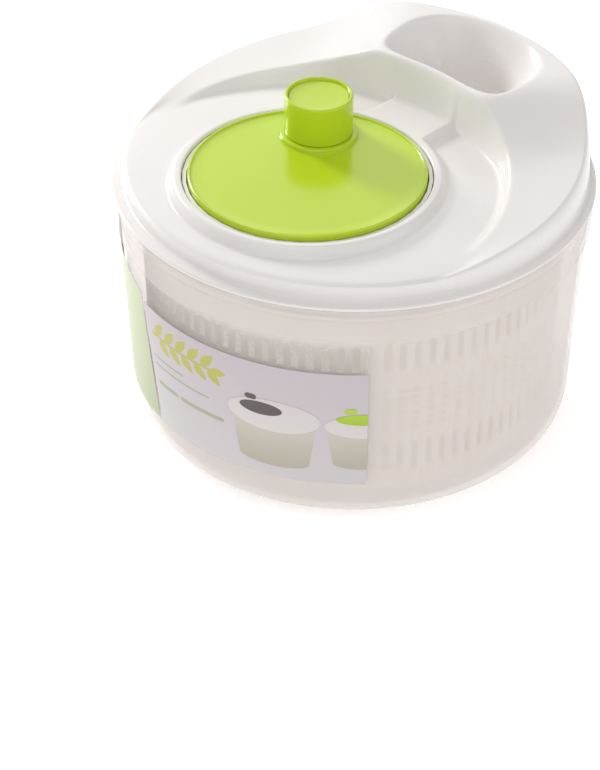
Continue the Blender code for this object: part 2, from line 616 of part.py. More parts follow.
def gear_outline(teeth, root, tip, flank_points, thinning, phase):
    """Outline of an involute gear whose tooth stands at the phase angle, thinned at the pitch line."""
    pitch = MODULE * teeth / 2
    base = pitch * math.cos(PRESSURE_ANGLE)
    half_tooth = math.pi / (2 * teeth) - thinning / (2 * pitch)
    start = max(root, base)
    flank = []
    for step in range(flank_points):
        radius = start + (tip - start) * step / (flank_points - 1)
        spread = half_tooth + involute(PRESSURE_ANGLE) - involute(math.acos(base / radius))
        flank.append((radius, spread))
    if root < start:
        flank.insert(0, (root, flank[0][1]))
    outline = []
    for tooth in range(teeth):
        middle = phase + math.tau * tooth / teeth
        sides = [(radius, middle - spread) for radius, spread in flank]
        sides += [(radius, middle + spread) for radius, spread in reversed(flank)]
        outline += [(radius * math.cos(turn), radius * math.sin(turn)) for radius, turn in sides]
    return outline


def make_ring_gear(surface, parent):
    """Internal ring gear under the disc, held by three screws."""
    inner = RING_TIP_RADIUS
    outline = [(inner, RING_LOW_Z), (RING_RADIUS, RING_LOW_Z), (RING_RADIUS, RING_TOP_Z), (inner, RING_TOP_Z)]
    ring = add_piece("ring_gear", lathe(outline, ROUND_STEPS, CRANK_AXIS), surface, parent)
    teeth = gear_outline(RING_TEETH, RING_SPACE_RADIUS, RING_ROOT_RADIUS, 2, -BACKLASH / 2, math.pi / 2)
    spaces = prism(teeth, RING_LOW_Z - 0.001, RING_TOP_Z + 0.001)
    bmesh.ops.translate(spaces, verts=spaces.verts, vec=CRANK_AXIS)
    places = around(CRANK_AXIS, PILLAR_PLACE, PILLAR_ANGLES)
    holes = [rod(place, 0.0017, RING_LOW_Z - 0.001, RING_TOP_Z + 0.001, 12) for place in places]
    combine(ring, "DIFFERENCE", spaces, *holes)
    return ring


def make_pinion(surface, parent):
    """Pinion on the bowl's axis with a tooth in the ring's space on the +Y side, and its shaft."""
    teeth = gear_outline(PINION_TEETH, PINION_ROOT_RADIUS, PINION_TIP_RADIUS, 4, BACKLASH, math.pi / 2)
    pinion = add_piece("pinion", prism(teeth, PINION_LOW_Z, RING_TOP_Z), surface, parent)
    shaft = rod((0, 0), SHAFT_RADIUS - 0.0004, 0.1275, PINION_LOW_Z + 0.001)
    combine(pinion, "UNION", shaft)
    combine(pinion, "DIFFERENCE", rod((0, 0), 0.0017, 0.1265, 0.1370, 12))
    return pinion


# ---- Knob ---------------------------------------------------------------------------------
def make_knob_spindle(surface, parent):
    """A headed pin that stands on the disc's seat and keeps the knob on."""
    low = KNOB_SEAT_Z + GAP
    outline = [(0.0018, low), (0.0090, low), (0.0090, low + 0.0015), (0.0050, low + 0.0015), (0.0050, 0.1648),
               (0.0080, 0.1648), (0.0080, 0.1668), (0, 0.1668), (0, 0.1645), (0.0018, 0.1645)]
    return add_piece("knob_spindle", lathe(outline, 24, KNOB_AXIS), surface, parent)


def make_knob_grip(surface, parent):
    """Hollow grip with a web that turns around the spindle under its head."""
    skin = KNOB_RADIUS - 0.0020
    low = KNOB_SEAT_Z + GAP
    outline = [(KNOB_RADIUS, low), (KNOB_RADIUS, KNOB_TOP_Z - 0.0014), (KNOB_RADIUS - 0.0007, KNOB_TOP_Z),
               (KNOB_RADIUS - 0.0017, KNOB_TOP_Z), (KNOB_RADIUS - 0.0022, KNOB_TOP_Z - 0.0008),
               (KNOB_RADIUS - 0.0022, 0.1706), (0.0130, 0.1706), (0.0130, 0.1644), (0.0054, 0.1644),
               (0.0054, 0.1618), (skin, 0.1618), (skin, low)]
    return add_piece("knob_grip", lathe(outline, 24, KNOB_AXIS), surface, parent)


def make_knob_cap(surface, parent):
    """Dished cap that closes the top of the grip."""
    radius = KNOB_RADIUS - 0.0022 - GAP
    outline = [(0, 0.1709), (radius, 0.1709), (radius, 0.1730), (radius - 0.0040, 0.1724), (0, 0.1720)]
    return add_piece("knob_cap", lathe(outline, 24, KNOB_AXIS), surface, parent)


# ---- Driver -------------------------------------------------------------------------------
def make_driver(surface, parent):
    """Three-armed spider on the pinion's shaft, with pegs that stand in the basket's rim holes."""
    bore = SHAFT_RADIUS - 0.0001
    outline = [(0.0017, DRIVER_LOW_Z), (DRIVER_HUB_RADIUS, DRIVER_LOW_Z), (DRIVER_HUB_RADIUS, DRIVER_TOP_Z),
               (bore, DRIVER_TOP_Z), (bore, 0.1272), (0.0017, 0.1272)]
    driver = add_piece("driver", lathe(outline, 24), surface, parent)
    arms = [bar(angle, 0.0070, DRIVER_REACH, DRIVER_ARM_WIDTH, DRIVER_LOW_Z + 0.0001, DRIVER_ARM_Z)
            for angle in DRIVER_ANGLES]
    combine(driver, "UNION", *arms)
    pegs = [bar(angle, *PEG_RADII, PEG_WIDTH, PEG_LOW_Z, DRIVER_LOW_Z + 0.0010) for angle in DRIVER_ANGLES]
    combine(driver, "UNION", *pegs)
    return driver


# ---- Assembly -----------------------------------------------------------------------------
def build():
    """Make every piece on the frame that it moves with."""
    clear_scene()
    frosted = plastic("frosted_polypropylene", (0.78, 0.74, 0.71), 0.45, alpha=0.45)
    natural = plastic("natural_polypropylene", (0.86, 0.85, 0.82), 0.40)
    white = plastic("white_polypropylene", (0.85, 0.84, 0.82), 0.25)
    lime = plastic("lime_abs", (0.35, 0.58, 0.02), 0.20)
    print_film = plastic("printed_film", (0.62, 0.60, 0.64), 0.35)
    acetal = plastic("acetal", (0.80, 0.80, 0.78), 0.35)
    steel = plastic("zinc_plated_steel", (0.60, 0.60, 0.58), 0.30, metallic=1.0)

    lid_frame = add_frame("lid_frame", (0, 0, LIP_LOW_Z))
    crank_frame = add_frame("crank_frame", (0, CRANK_Y, DISC_TOP_Z), lid_frame)
    knob_frame = add_frame("knob_frame", (KNOB_AXIS[0], KNOB_AXIS[1], KNOB_SEAT_Z), crank_frame)
    drive_frame = add_frame("drive_frame", (0, 0, PINION_LOW_Z), lid_frame)
    bearing_frame = add_frame("bearing_frame", (0, 0, POST_TOP_Z))
    basket_frame = add_frame("basket_frame", (0, 0, BASKET_FLOOR_Z), bearing_frame)

    make_bowl(frosted)
    make_label(print_film)
    make_bearing_cup(acetal, bearing_frame)
    make_basket(natural, basket_frame)

    make_lid(white, lid_frame)
    make_gear_tray(white, lid_frame)
    places = around(CRANK_AXIS, TRAY_SCREW_RADIUS, TRAY_SCREW_ANGLES)
    for number, place in enumerate(places, start=1):
        screw(f"tray_screw_{number}", place, TRAY_LOW_Z - 0.0023, 0.1412, steel, lid_frame)

    make_crank_disc(lime, crank_frame)
    make_ring_gear(acetal, crank_frame)
    places = around(CRANK_AXIS, PILLAR_PLACE, PILLAR_ANGLES)
    for number, place in enumerate(places, start=1):
        screw(f"ring_screw_{number}", place, RING_LOW_Z - 0.0021, DISC_LOW_Z, steel, crank_frame,
              shank=0.0011, head=0.0026, head_height=0.0018)
    washer("crank_washer", CRANK_AXIS, 0.0018, 0.0090, SHAFT_LOW_Z - 0.0018, SHAFT_LOW_Z - GAP, steel,
           crank_frame)
    screw("crank_screw", CRANK_AXIS, SHAFT_LOW_Z - 0.0041, 0.1448, steel, crank_frame)
    make_knob_spindle(acetal, crank_frame)
    screw("knob_screw", KNOB_AXIS, DISC_LOW_Z - 0.0023, 0.1640, steel, crank_frame)
    make_knob_grip(lime, knob_frame)
    make_knob_cap(lime, knob_frame)

    make_pinion(acetal, drive_frame)
    washer("pinion_washer", (0, 0), 0.0050, 0.0088, TRAY_TOP_Z + GAP, PINION_LOW_Z - GAP, steel, drive_frame)
    make_driver(white, drive_frame)
    washer("driver_washer", (0, 0), 0.0018, 0.0060, DRIVER_LOW_Z - 0.0011, DRIVER_LOW_Z - GAP, steel,
           drive_frame)
    screw("driver_screw", (0, 0), DRIVER_LOW_Z - 0.0034, 0.1360, steel, drive_frame)


build()
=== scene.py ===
# %% [markdown]
# # A crank salad spinner
# A frosted bowl, a slotted basket and a white lid with a lime green crank. The lid's crank turns
# an internal gear, which turns the basket. This lesson models every surface that shows, keeps the
# gears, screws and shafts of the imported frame, and gives each of them the finish of its real plastic
# or metal.

# %% Load the frame
import math

import bpy
import numpy as np
from mathutils import Matrix, Vector


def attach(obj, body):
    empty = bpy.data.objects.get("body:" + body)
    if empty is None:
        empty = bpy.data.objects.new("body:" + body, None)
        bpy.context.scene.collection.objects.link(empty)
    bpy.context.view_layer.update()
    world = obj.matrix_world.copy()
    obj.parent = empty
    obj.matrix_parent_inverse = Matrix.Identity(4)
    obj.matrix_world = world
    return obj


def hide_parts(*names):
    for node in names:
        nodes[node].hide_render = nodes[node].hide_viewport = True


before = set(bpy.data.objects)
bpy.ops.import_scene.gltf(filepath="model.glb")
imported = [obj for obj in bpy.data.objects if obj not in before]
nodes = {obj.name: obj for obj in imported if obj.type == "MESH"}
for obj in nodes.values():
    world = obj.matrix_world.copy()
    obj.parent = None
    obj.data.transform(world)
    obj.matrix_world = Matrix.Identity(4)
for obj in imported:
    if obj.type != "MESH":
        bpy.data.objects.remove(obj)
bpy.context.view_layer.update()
print("frame:", len(nodes), "nodes")

# %% [markdown]
# ## Small helpers
# Colours are written as they are seen on screen and turned to linear light by one function. One
# function adds a shader node with its settings and links. Millimetres read better than fractions of
# a metre on an object of this size, so lengths go through `MM`.

# %% Colour and node helpers
MM = 0.001


def srgb(code):
    """Linear colour of a hex code."""
    channels = [int(code[i:i + 2], 16) / 255 for i in (1, 3, 5)]
    linear = [c / 12.92 if c <= 0.04045 else ((c + 0.055) / 1.055) ** 2.4 for c in channels]
    return (*linear, 1.0)


def add_node(tree, kind, settings=None, **inputs):
    """Add a node; inputs are values, or sockets to link from."""
    node = tree.nodes.new(kind)
    for name, value in (settings or {}).items():
        setattr(node, name, value)
    for name, value in inputs.items():
        socket = node.inputs[int(name[1:])] if name[0] == "_" else node.inputs[name.replace("_", " ")]
        if isinstance(value, bpy.types.NodeSocket):
            tree.links.new(value, socket)
        else:
            socket.default_value = value
    return node


def new_material(name):
    """An empty material; returns it with its tree and its Principled shader."""
    material = bpy.data.materials.new(name)
    material.use_nodes = True
    tree = material.node_tree
    return material, tree, tree.nodes["Principled BSDF"]


def paint(obj, material):
    """Give a piece one material."""
    obj.data.materials.clear()
    obj.data.materials.append(material)


# %% [markdown]
# ## Turned pieces
# Bowls, knobs and discs are turned shapes. By hand one starts from a circle and then extrudes, scales
# and moves its edge loop once for each point of the outline. `turn` does just that with operators.

# %% Operator helpers
def start_fresh():
    """Leave edit mode and deselect all, so that an operator acts only on the new piece."""
    if bpy.context.mode != "OBJECT":
        bpy.ops.object.mode_set(mode="OBJECT")
    bpy.ops.object.select_all(action="DESELECT")


def finish_piece(name, smooth_angle=35):
    """Name the active piece, put its place in its mesh and shade it."""
    if bpy.context.mode != "OBJECT":
        bpy.ops.object.mode_set(mode="OBJECT")
    piece = bpy.context.object
    bpy.ops.object.transform_apply(location=True, rotation=True, scale=True)
    bpy.ops.object.shade_smooth_by_angle(angle=math.radians(smooth_angle))
    piece.name = name
    piece.data.name = name
    return piece


def use_modifier(piece, kind, **settings):
    """Add a modifier and apply it."""
    modifier = piece.modifiers.new(kind.title(), kind)
    for key, value in settings.items():
        setattr(modifier, key, value)
    bpy.context.view_layer.objects.active = piece
    bpy.ops.object.modifier_apply(modifier=modifier.name)


def turn(name, outline, sides=192, centre=(0.0, 0.0), ends="open"):
    """Turn an outline of (radius, height) points in millimetres about an upright axis.

    With "closed" ends the last point joins the first, as in a ring. With "capped" ends both are
    filled. A last point on the axis becomes a pole.
    """
    start_fresh()
    x, y = centre
    radius, height = outline[0]
    fill = "TRIFAN" if ends == "capped" else "NOTHING"
    place = (x * MM, y * MM, height * MM)
    bpy.ops.mesh.primitive_circle_add(vertices=sides, radius=radius * MM, fill_type=fill, location=place)
    bpy.ops.object.mode_set(mode="EDIT")
    bpy.ops.mesh.select_all(action="SELECT")
    for next_radius, next_height in outline[1:] + outline[:1] * (ends == "closed"):
        bpy.ops.mesh.extrude_region_move()
        ratio = next_radius / radius
        bpy.ops.transform.resize(value=(ratio, ratio, 1), center_override=(x * MM, y * MM, height * MM))
        bpy.ops.transform.translate(value=(0, 0, (next_height - height) * MM))
        radius, height = next_radius, next_height
    bpy.ops.mesh.select_all(action="SELECT")
    bpy.ops.mesh.remove_doubles(threshold=2e-6)
    bpy.ops.mesh.normals_make_consistent(inside=False)
    piece = finish_piece(name)
    print(name, len(piece.data.polygons), "faces")
    return piece


def arc(centre_radius, centre_height, radius, start, end, steps):
    """Points of an outline along an arc, in degrees, both ends included."""
    turns = [math.radians(start + (end - start) * step / steps) for step in range(steps + 1)]
    return [(centre_radius + radius * math.cos(t), centre_height + radius * math.sin(t)) for t in turns]


# %% [markdown]
# ## The bowl
# The bowl is injection-moulded polypropylene with a frosted surface. Its foot ring, wide round lower
# corner, slightly conical wall and stepped rim band are one outline, about 1.8 mm thick.

# %% Bowl
def bowl_radius(height):
    """Outside of the bowl's wall, which widens by 5.3 mm over its height."""
    return 111.4 + 5.3 * (height - 20.5) / 92.5


bowl_outline = [(116.7, 113.0), (117.3, 113.3), (118.2, 114.3), (118.6, 115.1), (118.8, 116.2), (119.0, 126.2)]
bowl_outline += [(118.9, 126.8), (118.65, 127.2), (118.65, 127.9), (118.9, 128.3), (119.0, 128.9), (119.0, 132.1)]
bowl_outline += [(118.8, 132.7), (118.3, 133.0), (117.7, 133.0), (117.3, 132.7), (117.2, 132.2)]
bowl_outline += [(117.1, 117.4), (116.8, 116.4), (115.6, 114.6), (115.0, 113.6), (bowl_radius(109) - 1.8, 109.0)]
bowl_outline += [(bowl_radius(h) - 1.8, h) for h in (90, 60, 40)]
bowl_outline += reversed(arc(90.9, 22.3, 18.7, -90, 0, 12))
bowl_outline += [(60, 3.6), (30, 3.6), (6.5, 3.6), (5.2, 4.6), (4.9, 13.0), (4.3, 14.0), (3.2, 14.5), (0, 14.7)]
bowl_inner = turn("bowl", bowl_outline)
foot_outline = [(116.7, 113.0)] + [(bowl_radius(h), h) for h in (110, 90, 70, 50, 35)]
foot_outline += reversed(arc(90.9, 20.5, 20.5, -90, 0, 12))
foot_outline += [(80.5, 0.0), (79.3, 0.4), (78.6, 1.3), (77.5, 1.6), (40, 1.6), (0, 1.6)]
bowl_outer = turn("bowl_outside", foot_outline)


def join(name, *pieces):
    """Join pieces into one mesh, merge where they meet and point its faces out."""
    start_fresh()
    for piece in pieces:
        piece.select_set(True)
    bpy.context.view_layer.objects.active = pieces[0]
    bpy.ops.object.join()
    bpy.ops.object.mode_set(mode="EDIT")
    bpy.ops.mesh.select_all(action="SELECT")
    bpy.ops.mesh.remove_doubles(threshold=2e-6)
    bpy.ops.mesh.normals_make_consistent(inside=False)
    return finish_piece(name)


bowl = join("frosted_bowl", bowl_inner, bowl_outer)
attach(bowl, "bowl_base")
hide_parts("bowl")


# %% [markdown]
# ## The basket
# The straining basket has a band of tall slots under its rim, a band of small windows in rows below
# it, and another band of slots near the floor. One turned skin has an edge loop at each band's limits.
# Every second face of a slot row is deleted, and Solidify gives the skin its 1.6 mm wall.

# %% Basket skin with its openings
SLOTS = 88
WINDOW_ROWS = 6
WALL_MM = 1.6


def basket_radius(height):
    """Middle of the basket's wall."""
    return 101.6 + 3.6 * height / 120


def band(low, high, rows, share):
    """Heights where the rows of a band open and close, from the top down."""
    pitch = (high - low) / rows
    heights = []
    for row in range(rows):
        top = high - row * pitch
        heights += [top, top - pitch * share]
    return heights


slot_top = band(88.5, 104.0, 1, 1.0)
windows = band(50.0, 76.5, WINDOW_ROWS, 0.58)
slot_low = band(28.0, 44.0, 1, 1.0)
openings = slot_top + windows + slot_low
skin = [(109.4, 122.1), (106.4, 122.1), (basket_radius(120), 121.0), (basket_radius(116), 116.0)]
skin += [(basket_radius(height), height) for height in openings]
skin += list(reversed(arc(89.0, 24.0, 13.4, -90, -8, 7)))
floor_rings = (80.0, 57.0, 47.0, 24.0)
skin += [(radius, 10.8) for radius in floor_rings]
skin += [(13.2, 10.8), (11.2, 12.0), (10.4, 16.0), (10.2, 18.6), (9.6, 18.9), (0, 18.9)]
basket = turn("basket_skin", skin, SLOTS * 2)


def delete_windows(piece, sides, rows):
    """Delete every second face of the rows, which are pairs of heights or of radii."""
    bpy.context.tool_settings.mesh_select_mode = (False, False, True)
    bpy.ops.object.mode_set(mode="EDIT")
    bpy.ops.mesh.select_all(action="DESELECT")
    bpy.ops.object.mode_set(mode="OBJECT")
    for face in piece.data.polygons:
        x, y, z = face.center
        step = int((math.degrees(math.atan2(y, x)) % 360) / (360 / sides))
        radius = math.hypot(x, y)
        for kind, low, high in rows:
            value = z if kind == "height" else radius
            inside = low * MM < value < high * MM and (kind == "height" or z < 0.0112)
            if inside and step % 2:
                face.select = True
    bpy.ops.object.mode_set(mode="EDIT")
    bpy.ops.mesh.delete(type="FACE")
    bpy.ops.object.mode_set(mode="OBJECT")
    bpy.context.tool_settings.mesh_select_mode = (True, False, False)


slot_rows = [("height", openings[i + 1], openings[i]) for i in range(0, len(openings), 2)]
floor_rows = [("radius", 57.0, 80.0), ("radius", 24.0, 47.0)]
delete_windows(basket, SLOTS * 2, slot_rows + floor_rows)
use_modifier(basket, "SOLIDIFY", thickness=WALL_MM * MM, offset=0, use_even_offset=True)
basket = finish_piece("straining_basket")
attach(basket, "strainer")
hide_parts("basket")
print("basket", len(basket.data.polygons), "faces")


# %% [markdown]
# ## The lid
# The lid is one glossy white moulding: a domed deck, a raised collar round the crank's recess, a
# tongue from the collar to the raised back, and a soft-lipped funnel in that back. Its form is free
# and continuous, so a height is worked out for each point in plan. A grid primitive is wrapped into
# rings, from the recess over the deck, round the lip and the plug, and back along the underside.

# %% Lid dimensions in millimetres and degrees
CRANK_Y = -33.2
BACK_CENTRE_Y = -36.0
RECESS_RADIUS = 61.5
RECESS_FLOOR = 143.0
COLLAR_FOOT = 69.3
COLLAR_TOP = 149.7
EDGE_RADIUS = 113.0
EDGE_HEIGHT = 142.3
EDGE_ROUNDING = 3.2          # width over which the deck rounds into its skirt
DOME_RISE = 4.0
DOME_RADIUS = 114.5
LIP_RADIUS = 120.0
LIP_LOW = 133.3
BACK_TOP = 170.5
BACK_OVERHANG = 5.4          # the raised back's outer wall stands this far outside the deck's edge
BACK_OVERHANG_POWER = 0.8
SKIRT_DROP = 0.5             # how far the edge sinks for each millimetre outwards
TONGUE_HALF_WIDTH = 21.5
LID_WALL = 2.2
MOUTH_HALF_WIDTH = 43.5
MOUTH_FRONT_RADIUS = 93.8    # front lip, from the centre of the raised back's wall
MOUTH_BACK_RADIUS = 113.2    # back lip, from the bowl's axis
MOUTH_SQUARENESS = 3.1
THROAT_SHARE = 0.46          # the throat against the mouth, in width
THROAT_HEIGHT = 140.0
FUNNEL_FLARE = 1.5
RIM_TABLE = ((0, 170.5), (29, 170.2), (36, 167.6), (41, 163.3), (47, 158.6), (54, 155.1), (65, 153.0),
             (76, 150.9), (87, 149.0), (96, 147.3), (105, 145.4), (120, 143.2), (140, EDGE_HEIGHT))
CREST_TABLE = ((0, 169.5), (22, 169.5), (30, 162.5), (38, 156.5), (46, 153.2), (56, 151.0), (66, 149.4),
               (75, 147.3), (92, EDGE_HEIGHT))
FOOT_TABLE = ((0, 88.0), (15, 88.5), (30, 92.5), (42, 95.0))
CREST_RADIUS_TABLE = ((0, 92.4), (16, 93.0), (30, 98.5), (40, 100.5))


# %% Height of the lid's upper face
def smooth(share):
    """A step from 0 to 1 with level ends."""
    share = np.clip(share, 0.0, 1.0)
    return share * share * (3 - 2 * share)


def soft_table(table, value, reach=3.0):
    """A table read between its points, with its corners rounded over a reach each way."""
    offsets = np.linspace(-reach, reach, 9)
    return sum(np.interp(np.abs(value + offset), *zip(*table)) for offset in offsets) / len(offsets)


def bearing_of(x, y):
    """Degrees from +Y about the bowl's axis, the same on both sides."""
    return np.abs(np.degrees(np.arctan2(x, y)))


def edge_radius(x, y):
    """Outer edge of the deck; the raised back stands further out."""
    raised = (soft_table(RIM_TABLE, bearing_of(x, y)) - EDGE_HEIGHT) / (BACK_TOP - EDGE_HEIGHT)
    return EDGE_RADIUS + BACK_OVERHANG * np.maximum(raised, 0) ** BACK_OVERHANG_POWER


def edge_height(x, y):
    """Where the deck's edge meets the skirt."""
    return EDGE_HEIGHT - SKIRT_DROP * (edge_radius(x, y) - EDGE_RADIUS)


def mouth_share(x, y):
    """0 in the funnel's throat, 1 at its lip and beyond, level on rounded ovals between them."""
    front = BACK_CENTRE_Y + np.sqrt(np.maximum(MOUTH_FRONT_RADIUS ** 2 - x ** 2, 0))
    back = np.sqrt(np.maximum(MOUTH_BACK_RADIUS ** 2 - x ** 2, 0))
    across = np.abs(x) / MOUTH_HALF_WIDTH
    along_mouth = np.abs(y - (front + back) / 2) / ((back - front) / 2)
    rounded = (across ** MOUTH_SQUARENESS + along_mouth ** MOUTH_SQUARENESS) ** (1 / MOUTH_SQUARENESS)
    return np.maximum(rounded - THROAT_SHARE, 0) / (1 - THROAT_SHARE)


def lid_top(x, y):
    """Height of the upper face over a point in plan."""
    radius = np.hypot(x, y)
    crank_radius = np.hypot(x, y - CRANK_Y)
    wall_radius = np.hypot(x, y - BACK_CENTRE_Y)
    swing = np.abs(np.degrees(np.arctan2(x, y - BACK_CENTRE_Y)))
    edge, foot = edge_radius(x, y), edge_height(x, y)
    deck = EDGE_HEIGHT + DOME_RISE * np.sqrt(np.maximum(1 - (radius / DOME_RADIUS) ** 2, 0))
    collar = smooth((COLLAR_FOOT - crank_radius) / 4.6)
    tongue = smooth((TONGUE_HALF_WIDTH - np.abs(x)) / 3.2) * (y > CRANK_Y)
    height = deck + (COLLAR_TOP - deck) * np.maximum(collar, tongue)
    crest = soft_table(CREST_TABLE, swing)
    crest_radius = soft_table(CREST_RADIUS_TABLE, swing)
    foot_radius = soft_table(FOOT_TABLE, swing)
    past_crest = np.maximum(wall_radius - crest_radius, 0)
    share = past_crest / np.maximum(past_crest + np.maximum(edge - radius, 0), 1e-3)
    back = crest + (soft_table(RIM_TABLE, bearing_of(x, y)) - crest) * smooth(share)
    offsets = np.linspace(-1.3, 1.3, 7)
    climbs = [(wall_radius + offset - foot_radius) / (crest_radius - foot_radius) for offset in offsets]
    wall = sum(smooth(climb) for climb in climbs) / len(climbs)
    height = height + np.maximum(back - height, 0) * wall
    inward = np.clip((edge - radius) / EDGE_ROUNDING, 0, 1)
    height = foot + (height - foot) * np.sqrt(1 - (1 - inward) ** 2)
    height = height - SKIRT_DROP * np.maximum(radius - edge, 0)
    depth = np.maximum(1 - mouth_share(x, y), 0) ** FUNNEL_FLARE
    return np.minimum(height, BACK_TOP - (BACK_TOP - THROAT_HEIGHT) * depth)


def lid_under(x, y):
    """Height of the lower face: one wall below the upper face in every direction."""
    lowest = lid_top(x, y) - LID_WALL
    for share in (0.45, 0.8, 0.98):
        reach = share * LID_WALL
        drop = math.sqrt(LID_WALL ** 2 - reach ** 2)
        for turn_angle in np.arange(12) * math.tau / 12:
            shifted = lid_top(x + reach * np.cos(turn_angle), y + reach * np.sin(turn_angle))
            lowest = np.minimum(lowest, shifted - drop)
    return lowest


# %% [markdown]
# The rings lie closer together towards the edge, and the lines between them lie closer together
# across the raised back, where the form changes fastest.

# %% Rings of the lid
fine_side = np.arange(-66, 66.01, 0.8)
coarse_side = np.arange(68, 292.01, 2.0)
directions = np.radians(90 - np.concatenate([fine_side, coarse_side]))
x_dir, y_dir = np.cos(directions), np.sin(directions)
edge_mm, foot_mm = edge_radius(x_dir, y_dir), edge_height(x_dir, y_dir)


def flat_ring(radius, height, centre_y=0.0):
    """A ring at one height, or at one height for each direction."""
    return np.stack([radius * x_dir, centre_y + radius * y_dir, np.broadcast_to(height, x_dir.shape)], axis=1)


def deck_ring(share, surface):
    """A ring between the collar's foot at 0 and the deck's edge at 1, on a surface."""
    radius = COLLAR_FOOT + (edge_mm - COLLAR_FOOT) * share
    x, y = radius * x_dir, CRANK_Y * (1 - share) + radius * y_dir
    return np.stack([x, y, surface(x, y)], axis=1)


def collar_ring(radius, surface):
    """A ring about the crank's axis, on a surface."""
    x, y = radius * x_dir, CRANK_Y + radius * y_dir
    return np.stack([x, y, surface(x, y)], axis=1)


recess_wall = [(RECESS_RADIUS, RECESS_FLOOR), (RECESS_RADIUS, 148.4), (61.6, 149.1), (62.0, 149.55)]
rings = [flat_ring(radius, height, CRANK_Y) for radius, height in recess_wall]
rings += [collar_ring(radius, lid_top) for radius in (62.6, 63.5, 64.4, 65.2, 66.0, 66.8, 67.6, 68.3, 68.9)]
deck_shares = 1 - (1 - np.linspace(0, 1, 82)[:-1]) ** 1.12
rings += [deck_ring(share, lid_top) for share in deck_shares if share < 0.965]
for inset in (2.6, 2.0, 1.5, 1.05, 0.7, 0.42, 0.2, 0.06):
    ring_x, ring_y = (edge_mm - inset) * x_dir, (edge_mm - inset) * y_dir
    rings.append(np.stack([ring_x, ring_y, lid_top(ring_x, ring_y)], axis=1))
rings.append(flat_ring(edge_mm, foot_mm))
for drop, out in ((0.6, 0.02), (0.9, 0.3)):
    rings.append(flat_ring(edge_mm + out, foot_mm - drop * (foot_mm - 137.2)))
for out, height in ((0.45, 136.9), (0.7, 136.3), (1.2, 135.8), (1.9, 135.45), (2.8, 135.25)):
    rings.append(flat_ring(edge_mm + out / 5.9 * (118.9 - edge_mm), height))
lip = [(118.9, 135.1), (119.4, 134.95), (119.8, 134.65), (LIP_RADIUS, 134.2), (119.95, 133.8), (119.6, 133.45),
       (119.0, LIP_LOW), (116.8, LIP_LOW), (116.5, 133.0), (116.3, 129.2), (116.1, 128.7), (115.7, 128.5),
       (114.9, 128.5), (114.5, 128.7), (114.3, 129.2), (114.3, 132.1)]
rings += [flat_ring(radius, height) for radius, height in lip]
rings.append(flat_ring(np.minimum(edge_mm - 0.8, 114.3), 133.7))
rings.append(flat_ring(edge_mm - LID_WALL + 0.3, 136.0))
ring_x, ring_y = (edge_mm - LID_WALL - 0.1) * x_dir, (edge_mm - LID_WALL - 0.1) * y_dir
rings.append(np.stack([ring_x, ring_y, lid_under(ring_x, ring_y)], axis=1))
rings += [deck_ring(share, lid_under) for share in np.linspace(0.95, 0.03, 44)]
rings += [collar_ring(radius, lid_under) for radius in (68.6, 67.0, 65.4, 64.0)]
rings.append(flat_ring(63.5, RECESS_FLOOR, CRANK_Y))
lid_points = np.concatenate(rings) * MM
print("lid:", len(rings), "rings of", len(directions), "points")

# %% Wrap a grid into the lid
start_fresh()
bpy.ops.mesh.primitive_grid_add(x_subdivisions=len(directions), y_subdivisions=len(rings), size=1)
grid = bpy.context.object
columns, rows = len(directions) + 1, len(rings) + 1
ring_of = np.arange(rows) % len(rings)
step_of = np.arange(columns) % len(directions)
order = (ring_of[:, None] * len(directions) + step_of[None, :]).ravel()
grid.data.vertices.foreach_set("co", lid_points[order].astype(np.float32).ravel())
bpy.ops.object.mode_set(mode="EDIT")
bpy.ops.mesh.select_all(action="SELECT")
bpy.ops.mesh.remove_doubles(threshold=2e-6)
bpy.ops.mesh.normals_make_consistent(inside=False)
lid = finish_piece("white_lid", smooth_angle=50)
print("lid", len(lid.data.polygons), "faces")


# %% [markdown]
# The funnel ends in a short oval throat, which is cut right through with a Boolean.

# %% Cut the throat
def cut(piece, cutter):
    """Cut a closed cutter from a piece and remove it."""
    use_modifier(piece, "BOOLEAN", operation="DIFFERENCE", solver="EXACT", object=cutter)
    bpy.data.objects.remove(cutter)


start_fresh()
THROAT_PLACE = (0, 82 * MM, 138 * MM)
THROAT_SIZE = (36 * MM, 22 * MM, 16 * MM)
bpy.ops.mesh.primitive_cube_add(size=1, location=THROAT_PLACE, scale=THROAT_SIZE)
bpy.ops.object.mode_set(mode="EDIT")
bpy.ops.mesh.select_all(action="DESELECT")
bpy.ops.object.mode_set(mode="OBJECT")
cutter = bpy.context.object
for edge in cutter.data.edges:
    ends = [cutter.data.vertices[i].co for i in edge.vertices]
    edge.select = abs(ends[0].z - ends[1].z) > 0.5
bpy.context.tool_settings.mesh_select_mode = (False, True, False)
bpy.ops.object.mode_set(mode="EDIT")
bpy.ops.mesh.bevel(offset=10.6 * MM, segments=12)
bpy.context.tool_settings.mesh_select_mode = (True, False, False)
bpy.ops.object.mode_set(mode="OBJECT")
cut(lid, finish_piece("throat_cutter"))
bpy.ops.object.select_all(action="DESELECT")
lid.select_set(True)
bpy.context.view_layer.objects.active = lid
bpy.ops.object.shade_smooth_by_angle(angle=math.radians(50))
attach(lid, "lid")
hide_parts("lid_shell")
print("lid", len(lid.data.polygons), "faces")


# %% [markdown]
# ## The crank disc
# The lime green disc is moulded in glossy ABS. Its face is almost flat, with a low bead round the rim
# and a seat for the knob. Below it are the skirt, the hub and the shaft that the gears turn on.

